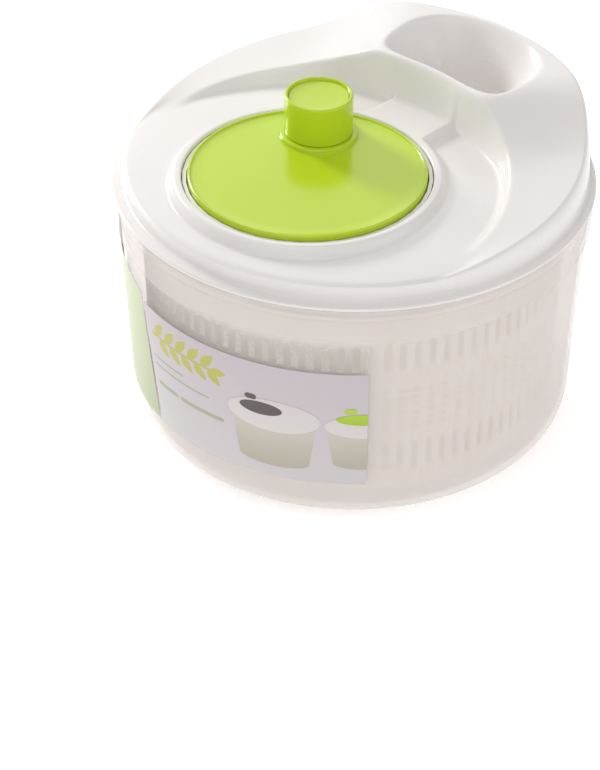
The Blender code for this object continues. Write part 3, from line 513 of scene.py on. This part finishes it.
# %% Disc, bead, hub and shaft
disc_outline = [(1.7, 145.8), (1.7, 133.8), (5.0, 133.8), (5.0, 139.2), (10.0, 139.2), (10.0, 148.8)]
disc_outline += [(56.9, 148.8), (56.9, 146.2), (57.2, 145.9), (58.2, 145.9), (58.6, 146.3), (58.6, 150.1)]
disc_outline += arc(57.7, 150.3, 0.9, 15, 165, 8)
disc_outline += [(56.5, 150.45), (56.1, 150.3), (50.0, 150.5), (30.0, 150.85), (10.0, 151.0), (0, 151.02)]
disc = turn("crank_disc_shell", disc_outline, centre=(0, CRANK_Y))
bpy.ops.object.mode_set(mode="EDIT")
bpy.ops.mesh.select_all(action="DESELECT")
bpy.ops.mesh.select_non_manifold()
bpy.ops.mesh.edge_face_add()
bpy.ops.object.mode_set(mode="OBJECT")

# %% Knob seat and the pillars that the ring gear hangs from
KNOB_X, KNOB_Y = -20.1, -4.2
PILLAR_RING = 51.5
seat_outline = [(19.4, 149.5), (19.7, 150.9), (19.5, 151.2), (19.5, 152.1)]
seat_outline += arc(18.6, 152.1, 0.9, 12, 90, 5)
seat_outline += [(2.0, 153.0)]
seat = turn("knob_seat", seat_outline, 96, (KNOB_X, KNOB_Y), "capped")
use_modifier(disc, "BOOLEAN", operation="UNION", solver="EXACT", object=seat)
bpy.data.objects.remove(seat)
for degrees in (30, 150, 270):
    x = PILLAR_RING * math.cos(math.radians(degrees))
    y = CRANK_Y + PILLAR_RING * math.sin(math.radians(degrees))
    pillar = turn("pillar", [(3.4, 145.7), (3.4, 149.8)], 24, (x, y), "capped")
    use_modifier(disc, "BOOLEAN", operation="UNION", solver="EXACT", object=pillar)
    bpy.data.objects.remove(pillar)
    cut(disc, turn("screw_hole", [(1.4, 145.0), (1.4, 149.3)], 24, (x, y), "capped"))
cut(disc, turn("pin_hole", [(1.8, 147.8), (1.8, 156.5)], 24, (KNOB_X, KNOB_Y), "capped"))
start_fresh()
disc.select_set(True)
bpy.context.view_layer.objects.active = disc
disc = finish_piece("lime_disc")
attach(disc, "crank")
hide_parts("crank_disc")
print("disc", len(disc.data.polygons), "faces")


# %% [markdown]
# ## The knob
# The knob is a straight hollow grip with a thin rolled rim and a dished cap set just below it. It
# turns on a headed pin, so it stands clear of its seat by a hair.

# %% Grip and cap
grip_outline = [(16.7, 153.3), (17.0, 153.6), (17.0, 172.9)]
grip_outline += arc(16.1, 173.1, 0.9, 0, 180, 10)
grip_outline += [(14.95, 172.6), (14.85, 170.6), (13.0, 170.6), (13.0, 164.4), (5.4, 164.4), (5.4, 161.8)]
grip_outline += [(15.0, 161.8), (15.0, 153.3)]
grip = turn("lime_knob", grip_outline, 128, (KNOB_X, KNOB_Y), "closed")
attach(grip, "knob")
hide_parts("knob_grip")
cap_outline = [(14.78, 170.9), (14.82, 172.3), (14.7, 172.55), (14.2, 172.6)]
cap_outline += [(12.0, 172.3), (9.0, 172.05), (4.0, 171.9), (0, 171.88)]
cap = turn("lime_knob_cap", cap_outline, 128, (KNOB_X, KNOB_Y))
bpy.ops.object.mode_set(mode="EDIT")
bpy.ops.mesh.select_all(action="DESELECT")
bpy.ops.mesh.select_non_manifold()
bpy.ops.mesh.edge_face_add()
bpy.ops.mesh.select_all(action="SELECT")
bpy.ops.mesh.normals_make_consistent(inside=False)
bpy.ops.object.mode_set(mode="OBJECT")
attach(cap, "knob")
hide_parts("knob_cap")


# %% [markdown]
# ## The printed label
# A clear film label is wrapped round part of the bowl. It is printed in flat inks: a pale lavender
# ground, a green panel, a leafy sprig, plain bars in place of words, and two small spinners. Every
# shape is drawn flat, in millimetres along the wall and up it, cut into upright strips so that it can
# bend, and then wrapped round the bowl. Each ink layer stands a few hundredths of a millimetre proud.

# %% Flat shapes
LABEL_LOW, LABEL_HIGH, PRINT_HIGH = 27.0, 112.0, 94.6
LABEL_START, LABEL_END = -140.0, -43.2
WALL_TURN = 112.6 * math.tau / 360


def along(degrees):
    """Millimetres along the bowl's wall, from the label's right edge."""
    return (degrees - LABEL_END) * WALL_TURN


def flat_shape(points):
    """A filled outline on the flat sheet, as a new object, points in millimetres."""
    start_fresh()
    bpy.ops.mesh.primitive_circle_add(vertices=len(points), radius=MM, fill_type="NGON")
    shape = bpy.context.object
    for vertex, (across, up) in zip(shape.data.vertices, points):
        vertex.co = (across * MM, 0, up * MM)
    return shape


def oval(across, up, half_width, half_height, steps=28):
    """Outline of an oval."""
    turns = [math.tau * step / steps for step in range(steps)]
    return [(across + half_width * math.cos(t), up + half_height * math.sin(t)) for t in turns]


def leaf(across, up, length, width, lean):
    """Outline of a pointed leaf that leans by an angle in degrees."""
    shares = [step / 10 for step in range(11)]
    side = [(length * share, width * math.sin(math.pi * share ** 0.8) ** 0.9) for share in shares]
    outline = side + [(run, -rise) for run, rise in reversed(side[1:-1])]
    cosine, sine = math.cos(math.radians(lean)), math.sin(math.radians(lean))
    return [(across + run * cosine - rise * sine, up + run * sine + rise * cosine) for run, rise in outline]


def bar(left, low, width, height):
    """Outline of a bar with rounded ends."""
    radius = height / 2
    right_end = [(left + width - radius + radius * math.cos(math.radians(a)),
                  low + radius + radius * math.sin(math.radians(a))) for a in range(-90, 91, 30)]
    left_end = [(left + radius + radius * math.cos(math.radians(a)),
                 low + radius + radius * math.sin(math.radians(a))) for a in range(90, 271, 30)]
    return right_end + left_end


# %% Wrap a sheet round the bowl
def wrap_print(name, shapes, layer, thickness=0.03):
    """Join flat shapes, cut them into strips, wrap them on the bowl and give them a thickness."""
    start_fresh()
    for shape in shapes:
        shape.select_set(True)
    bpy.context.view_layer.objects.active = shapes[0]
    if len(shapes) > 1:
        bpy.ops.object.join()
    bpy.ops.object.mode_set(mode="EDIT")
    for across in np.arange(-195, 1, 2.4):
        bpy.ops.mesh.select_all(action="SELECT")
        bpy.ops.mesh.bisect(plane_co=(across * MM, 0, 0), plane_no=(1, 0, 0))
    piece = finish_piece(name)
    for vertex in piece.data.vertices:
        across, up = vertex.co.x / MM, vertex.co.z / MM
        angle = math.radians(LABEL_END + across / WALL_TURN)
        radius = (bowl_radius(up) + 0.34 + layer * 0.06) * MM
        vertex.co = (radius * math.cos(angle), radius * math.sin(angle), up * MM)
    use_modifier(piece, "SOLIDIFY", thickness=thickness * MM, offset=1)
    start_fresh()
    piece.select_set(True)
    bpy.context.view_layer.objects.active = piece
    bpy.ops.object.mode_set(mode="EDIT")
    bpy.ops.mesh.select_all(action="SELECT")
    bpy.ops.mesh.normals_make_consistent(inside=False)
    finish_piece(name)
    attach(piece, "bowl_base")
    print(name, len(piece.data.polygons), "faces")
    return piece


# %% Sleeve and grounds
left, lavender_top, lavender_low = along(LABEL_START), along(-109.0), along(-104.0)
green_left = along(-139.0)
clear_film = wrap_print("clear_film", [flat_shape([(left, LABEL_LOW), (0, LABEL_LOW), (0, LABEL_HIGH),
                                                   (left, LABEL_HIGH)])], 0, 0.05)
lavender = wrap_print("lavender_print", [flat_shape([(lavender_low, LABEL_LOW), (0, LABEL_LOW), (0, PRINT_HIGH),
                                                     (lavender_top, PRINT_HIGH)])], 1)
green = wrap_print("green_print", [flat_shape([(green_left, LABEL_LOW), (lavender_low - 2.2, LABEL_LOW),
                                               (lavender_top - 2.2, 98.0), (green_left, 112.0)])], 1)
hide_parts("label")

# %% Leaves, bars and the two little spinners
leaves = [bar(along(-105.4), 79.6, 44.0, 1.2)]
for step in range(5):
    foot = along(-104.0) + 8.6 * step
    leaves += [leaf(foot, 80.8, 11.5, 2.6, 48), leaf(foot + 4.0, 79.6, 10.5, 2.4, -44)]
leaves.append(leaf(along(-105.4) + 43.0, 80.2, 9.0, 2.3, 4))
leaf_print = wrap_print("leaf_print", [flat_shape(points) for points in leaves], 2)
bars = [bar(along(-105.2), 66.4, 24.0, 1.0), bar(along(-105.2), 61.6, 41.0, 1.0),
        bar(along(-103.8), 50.6, 16.5, 2.2), bar(along(-94.6), 50.6, 28.5, 2.2)]
bar_print = wrap_print("bar_print", [flat_shape(points) for points in bars], 2)

# %% [markdown]
# The two little spinners are plain pictures of a spinner: an oval lid over a tub that narrows to a
# rounded foot, with an oval disc and a knob on top. They are built from the oval and bar helpers, and
# the second is cut off at the label's edge, as the print runs on under the trim.

# %% The two little spinners
def tub(centre, low, width, height):
    """Outline of a tub that narrows to a rounded foot."""
    turns = [math.radians(degrees) for degrees in range(180, 361, 15)]
    foot = [(centre + 0.42 * width * math.cos(t), low + 0.09 * width * (1 + math.sin(t))) for t in turns]
    return foot + [(centre + width / 2, low + height), (centre - width / 2, low + height)]


def cut_at_edge(points):
    """The part of an outline that lies left of the label's right edge, which is at zero."""
    return [(min(across, 0.0), up) for across, up in points]


tubs = wrap_print("tub_print", [flat_shape(tub(-46.0, 33.0, 43.0, 28.0)),
                                flat_shape(cut_at_edge(tub(0.0, 36.0, 39.0, 24.0)))], 2)
small_lids = wrap_print("small_lid_print", [flat_shape(oval(-46.0, 64.0, 23.5, 9.5)),
                                            flat_shape(cut_at_edge(oval(0.0, 62.5, 20.5, 7.0)))], 3)
dark_print = wrap_print("dark_disc_print", [flat_shape(oval(-52.0, 67.5, 11.0, 3.8)),
                                            flat_shape(bar(-60.0, 71.8, 6.0, 3.0))], 4)
green_disc_print = wrap_print("lime_disc_print", [flat_shape(cut_at_edge(oval(0.0, 67.0, 15.0, 3.4))),
                                                  flat_shape(bar(-11.0, 70.8, 6.0, 3.0))], 4)


# %% [markdown]
# ## Materials
# Every part but the steel screws is a moulded plastic, and moulded plastic is never quite even: the
# colour drifts a little through the wall, the gloss comes and goes in broad patches where the melt
# met the mould, and light tooling grain breaks up the highlight. One helper builds these three layers
# on the Principled shader from real lengths in millimetres.

# %% Moulded plastic
def moulded(name, colours, roughness, grain_mm, bump=0.04, drift_mm=45.0, index=1.49, alpha=1.0, glow=0.0):
    """Moulded plastic: two close colours that drift, patchy gloss and a fine tooling grain."""
    material, tree, shader = new_material(name)
    place = add_node(tree, "ShaderNodeTexCoord").outputs["Object"]
    drift = add_node(tree, "ShaderNodeTexNoise", Vector=place, Scale=1 / (drift_mm * MM), Detail=2.0)
    colour = add_node(tree, "ShaderNodeMix", {"data_type": "RGBA"}, Factor=drift.outputs["Fac"],
                      _6=srgb(colours[0]), _7=srgb(colours[1]))
    patches = add_node(tree, "ShaderNodeTexNoise", Vector=place, Scale=1 / (28 * MM), Detail=1.0)
    gloss = add_node(tree, "ShaderNodeMapRange", Value=patches.outputs["Fac"], To_Min=roughness[0],
                     To_Max=roughness[1])
    grain = add_node(tree, "ShaderNodeTexNoise", Vector=place, Scale=1 / (grain_mm * MM), Detail=2.0)
    relief = add_node(tree, "ShaderNodeBump", Height=grain.outputs["Fac"], Strength=bump, Distance=0.3 * MM)
    tree.links.new(colour.outputs[2], shader.inputs["Base Color"])
    tree.links.new(gloss.outputs["Result"], shader.inputs["Roughness"])
    tree.links.new(relief.outputs["Normal"], shader.inputs["Normal"])
    shader.inputs["IOR"].default_value = index
    shader.inputs["Alpha"].default_value = alpha
    shader.inputs["Subsurface Weight"].default_value = glow
    shader.inputs["Subsurface Radius"].default_value = (1.0, 0.9, 0.8)
    shader.inputs["Subsurface Scale"].default_value = 5 * MM
    return material


# Polypropylene, injection-moulded in a polished mould and coloured white: soft gloss, warm where thick.
white_pp = moulded("White_polypropylene_moulded", ("#EFEBE8", "#EAE5E2"), (0.24, 0.29), 0.9, bump=0.012)
# ABS, moulded glossy in lime green: the brightest, sharpest highlight of the set.
lime_abs = moulded("Lime_ABS_moulded_gloss", ("#C2DA2C", "#BBD522"), (0.15, 0.22), 0.9, bump=0.02, index=1.54)
# Polypropylene, uncoloured, in a fine-etched mould: translucent and frosted, so what is inside shows softly.
FROSTED_COVER, CLEARED_COVER = 0.36, 0.17
frosted_pp = moulded("Frosted_clear_polypropylene", ("#EDE6E3", "#E7DFDB"), (0.42, 0.55), 0.8, bump=0.025,
                     alpha=FROSTED_COVER)
# Polypropylene, natural: creamy and slightly translucent, seen only through the bowl.
natural_pp = moulded("Natural_polypropylene_basket", ("#DDD7CE", "#D8D1C7"), (0.35, 0.5), 1.0, glow=0.6)
# Painted glow: a faint cream emission on the basket stands in for light that scatters along the clear walls and
# reaches it from all sides.
basket_shader = natural_pp.node_tree.nodes["Principled BSDF"]
basket_shader.inputs["Emission Color"].default_value = srgb("#F6F1EB")
basket_shader.inputs["Emission Strength"].default_value = 0.15
# Acetal, moulded and self-lubricating: off-white, waxy and low in gloss, for the gears and the bearing.
acetal = moulded("Acetal_bearing_plastic", ("#E9E6DC", "#E1DDD0"), (0.38, 0.5), 0.6, bump=0.05, index=1.48)


# %% [markdown]
# Where the film lies on bare wall above its print, it fills the etched grain and the wall clears. The
# cleared area is bounded by the label's two upright edges and by heights above the print and below the
# film's top, and the wall's cover falls there.

# %% Clearer wall under the bare film
frost_tree = frosted_pp.node_tree
frost_place = add_node(frost_tree, "ShaderNodeTexCoord").outputs["Object"]
label_middle = math.radians((LABEL_START + LABEL_END) / 2)
towards_label = (math.cos(label_middle), math.sin(label_middle), 0)
facing = add_node(frost_tree, "ShaderNodeVectorMath", {"operation": "DOT_PRODUCT"}, _0=frost_place,
                  _1=towards_label).outputs["Value"]
label_edge = 115.4 * math.cos(math.radians((LABEL_END - LABEL_START) / 2))
wall_height = add_node(frost_tree, "ShaderNodeSeparateXYZ", Vector=frost_place).outputs["Z"]
under_film = add_node(frost_tree, "ShaderNodeMapRange", Value=facing, From_Min=(label_edge - 0.8) * MM,
                      From_Max=(label_edge + 0.8) * MM)
above_print = add_node(frost_tree, "ShaderNodeMapRange", Value=wall_height, From_Min=84 * MM, From_Max=86 * MM)
below_top = add_node(frost_tree, "ShaderNodeMapRange", Value=wall_height, From_Min=LABEL_HIGH * MM,
                     From_Max=108 * MM)
bare_band = add_node(frost_tree, "ShaderNodeMath", {"operation": "MULTIPLY"}, _0=above_print.outputs["Result"],
                     _1=below_top.outputs["Result"])
clear_share = add_node(frost_tree, "ShaderNodeMath", {"operation": "MULTIPLY"}, _0=under_film.outputs["Result"],
                       _1=bare_band.outputs[0])
cover = add_node(frost_tree, "ShaderNodeMapRange", Value=clear_share.outputs[0], To_Min=FROSTED_COVER,
                 To_Max=CLEARED_COVER)
frost_tree.links.new(cover.outputs["Result"], frost_tree.nodes["Principled BSDF"].inputs["Alpha"])


# %% [markdown]
# The screws and washers are zinc-plated steel: a pale metal with a faint blue cast and a brushed-looking
# unevenness from tumbling. Printing inks on film are flat colours laid down in fine dots, so the inks
# take a slight mottle of about half a millimetre and the gloss of the film.

# %% Zinc plate and printing inks
def zinc_plate():
    """Bright zinc plate on steel screws."""
    material, tree, shader = new_material("Zinc_plated_steel")
    place = add_node(tree, "ShaderNodeTexCoord").outputs["Object"]
    tumbling = add_node(tree, "ShaderNodeTexNoise", Vector=place, Scale=1 / (1.5 * MM), Detail=4.0)
    colour = add_node(tree, "ShaderNodeMix", {"data_type": "RGBA"}, Factor=tumbling.outputs["Fac"],
                      _6=srgb("#B9BDC4"), _7=srgb("#D3D6D8"))
    gloss = add_node(tree, "ShaderNodeMapRange", Value=tumbling.outputs["Fac"], To_Min=0.22, To_Max=0.42)
    tree.links.new(colour.outputs[2], shader.inputs["Base Color"])
    tree.links.new(gloss.outputs["Result"], shader.inputs["Roughness"])
    shader.inputs["Metallic"].default_value = 1.0
    return material


def printed(name, upper, lower, low_mm=27.0, high_mm=95.0, alpha=1.0):
    """Ink that grades from one colour at the bottom to another at the top, with a fine print mottle."""
    material, tree, shader = new_material(name)
    place = add_node(tree, "ShaderNodeTexCoord").outputs["Object"]
    height = add_node(tree, "ShaderNodeSeparateXYZ", Vector=place).outputs["Z"]
    rise = add_node(tree, "ShaderNodeMapRange", Value=height, From_Min=low_mm * MM, From_Max=high_mm * MM)
    ground = add_node(tree, "ShaderNodeMix", {"data_type": "RGBA"}, Factor=rise.outputs["Result"],
                      _6=srgb(lower), _7=srgb(upper))
    dots = add_node(tree, "ShaderNodeTexNoise", Vector=place, Scale=1 / (0.7 * MM), Detail=1.0)
    mottle = add_node(tree, "ShaderNodeMapRange", Value=dots.outputs["Fac"], To_Min=0.97, To_Max=1.03)
    ink = add_node(tree, "ShaderNodeVectorMath", {"operation": "SCALE"}, _0=ground.outputs[2],
                   Scale=mottle.outputs["Result"])
    tree.links.new(ink.outputs[0], shader.inputs["Base Color"])
    film = add_node(tree, "ShaderNodeMapRange", Value=dots.outputs["Fac"], To_Min=0.28, To_Max=0.36)
    tree.links.new(film.outputs["Result"], shader.inputs["Roughness"])
    shader.inputs["Alpha"].default_value = alpha
    return material


zinc = zinc_plate()
film_clear = printed("Clear_polyester_film", "#F2F0F0", "#F2F0F0", alpha=0.03)
lavender_ink = printed("Ink_pale_lavender", "#C3B8BE", "#CAC5C6")
green_ink = printed("Ink_pale_green", "#BCC49C", "#AAB38A")
leaf_ink = printed("Ink_olive_yellow", "#B9B84E", "#B4AE45")
bar_ink = printed("Ink_soft_grey_green", "#AEB09A", "#A3A68C")
tub_ink = printed("Ink_warm_beige", "#C9C2B9", "#AEA898", 32.0, 62.0)
lid_ink = printed("Ink_pale_warm_grey", "#CFC9C7", "#D5CFCD", 54.0, 73.0)
dark_ink = printed("Ink_dark_brown_grey", "#5A5052", "#544B4C")
lime_ink = printed("Ink_lime", "#B2CC38", "#9DBE20", 63.0, 73.0)

# %% Give every piece its finish
finishes = {lid: white_pp, disc: lime_abs, grip: lime_abs, cap: lime_abs, bowl: frosted_pp, basket: natural_pp,
            clear_film: film_clear, lavender: lavender_ink, green: green_ink, leaf_print: leaf_ink,
            bar_print: bar_ink, tubs: tub_ink, small_lids: lid_ink, dark_print: dark_ink,
            green_disc_print: lime_ink}
for piece, material in finishes.items():
    paint(piece, material)
carried = {"gear_tray": white_pp, "driver": white_pp, "ring_gear": acetal, "pinion": acetal,
           "bearing_cup": acetal, "knob_spindle": acetal}
for name, node in nodes.items():
    paint(node, carried.get(name, zinc if "screw" in name or "washer" in name else white_pp))
print(len(finishes), "new pieces and", len(nodes), "packed nodes have their finish")


# %% [markdown]
# ## Floor, light and camera
# The floor is a plain white plane. A small key stands to the left, so the knob's shadow falls to the
# right. A large softbox behind, one overhead and two weak fills, from the right and from the front,
# keep the whites open.

# %% Floor
start_fresh()
bpy.ops.mesh.primitive_plane_add(size=6.0, location=(0, 0, -0.0002))
floor = bpy.context.object
floor.name = "studio_floor"
floor_paint, floor_tree, floor_shader = new_material("Matt_white_floor")
floor_place = add_node(floor_tree, "ShaderNodeTexCoord").outputs["Object"]
floor_noise = add_node(floor_tree, "ShaderNodeTexNoise", Vector=floor_place, Scale=3.0)
floor_colour = add_node(floor_tree, "ShaderNodeMix", {"data_type": "RGBA"}, Factor=floor_noise.outputs["Fac"],
                        _6=srgb("#FFFFFF"), _7=srgb("#FDFDFD"))
floor_tree.links.new(floor_colour.outputs[2], floor_shader.inputs["Base Color"])
floor_shader.inputs["Roughness"].default_value = 0.9
floor_shader.inputs["Emission Color"].default_value = srgb("#FFFFFF")
floor_shader.inputs["Emission Strength"].default_value = 0.35
paint(floor, floor_paint)


# %% Lights
def soft_light(name, place, aim, size, power, colour="#FFFFFF"):
    """A square area light that faces a point."""
    data = bpy.data.lights.new(name, "AREA")
    data.size = size
    data.energy = power
    data.color = srgb(colour)[:3]
    light = bpy.data.objects.new(name, data)
    bpy.context.scene.collection.objects.link(light)
    light.location = place
    light.rotation_euler = (Vector(aim) - Vector(place)).to_track_quat("-Z", "Y").to_euler()
    return light


CAMERA_PLACE = Vector((0.90054, -0.98277, 0.96499))
CAMERA_AIM = Vector((0.00544, -0.04372, 0.03084))
CAMERA_ROLL = math.radians(0.2065)
soft_light("key", (-1.35, 0.06, 0.68), (0, 0, 0.14), 0.3, 14)
soft_light("back_softbox", (-0.95, 1.0, 1.0), (0, 0, 0.14), 1.3, 5.3)
soft_light("overhead", (0.2, -0.7, 1.6), (0, 0, 0.1), 1.4, 7)
soft_light("right_fill", (1.5, 0.5, 0.5), (0, 0, 0.08), 1.2, 5)
soft_light("front_fill", (1.0, -1.6, 0.45), (0, 0, 0.07), 1.4, 4.5)
world = bpy.data.worlds.new("white_studio")
world.use_nodes = True
world.node_tree.nodes["Background"].inputs["Color"].default_value = srgb("#FFFFFF")
world.node_tree.nodes["Background"].inputs["Strength"].default_value = 0.41
bpy.context.scene.world = world
bpy.context.scene.view_settings.view_transform = "Standard"

# %% Camera
camera_data = bpy.data.cameras.new("camera")
camera_data.lens = 147.87
camera_data.sensor_width = 36.0
camera = bpy.data.objects.new("camera", camera_data)
bpy.context.scene.collection.objects.link(camera)
camera.location = CAMERA_PLACE
level = (CAMERA_AIM - CAMERA_PLACE).to_track_quat("-Z", "Y").to_matrix()
camera.rotation_euler = (level @ Matrix.Rotation(CAMERA_ROLL, 3, "Z")).to_euler()
bpy.context.scene.camera = camera
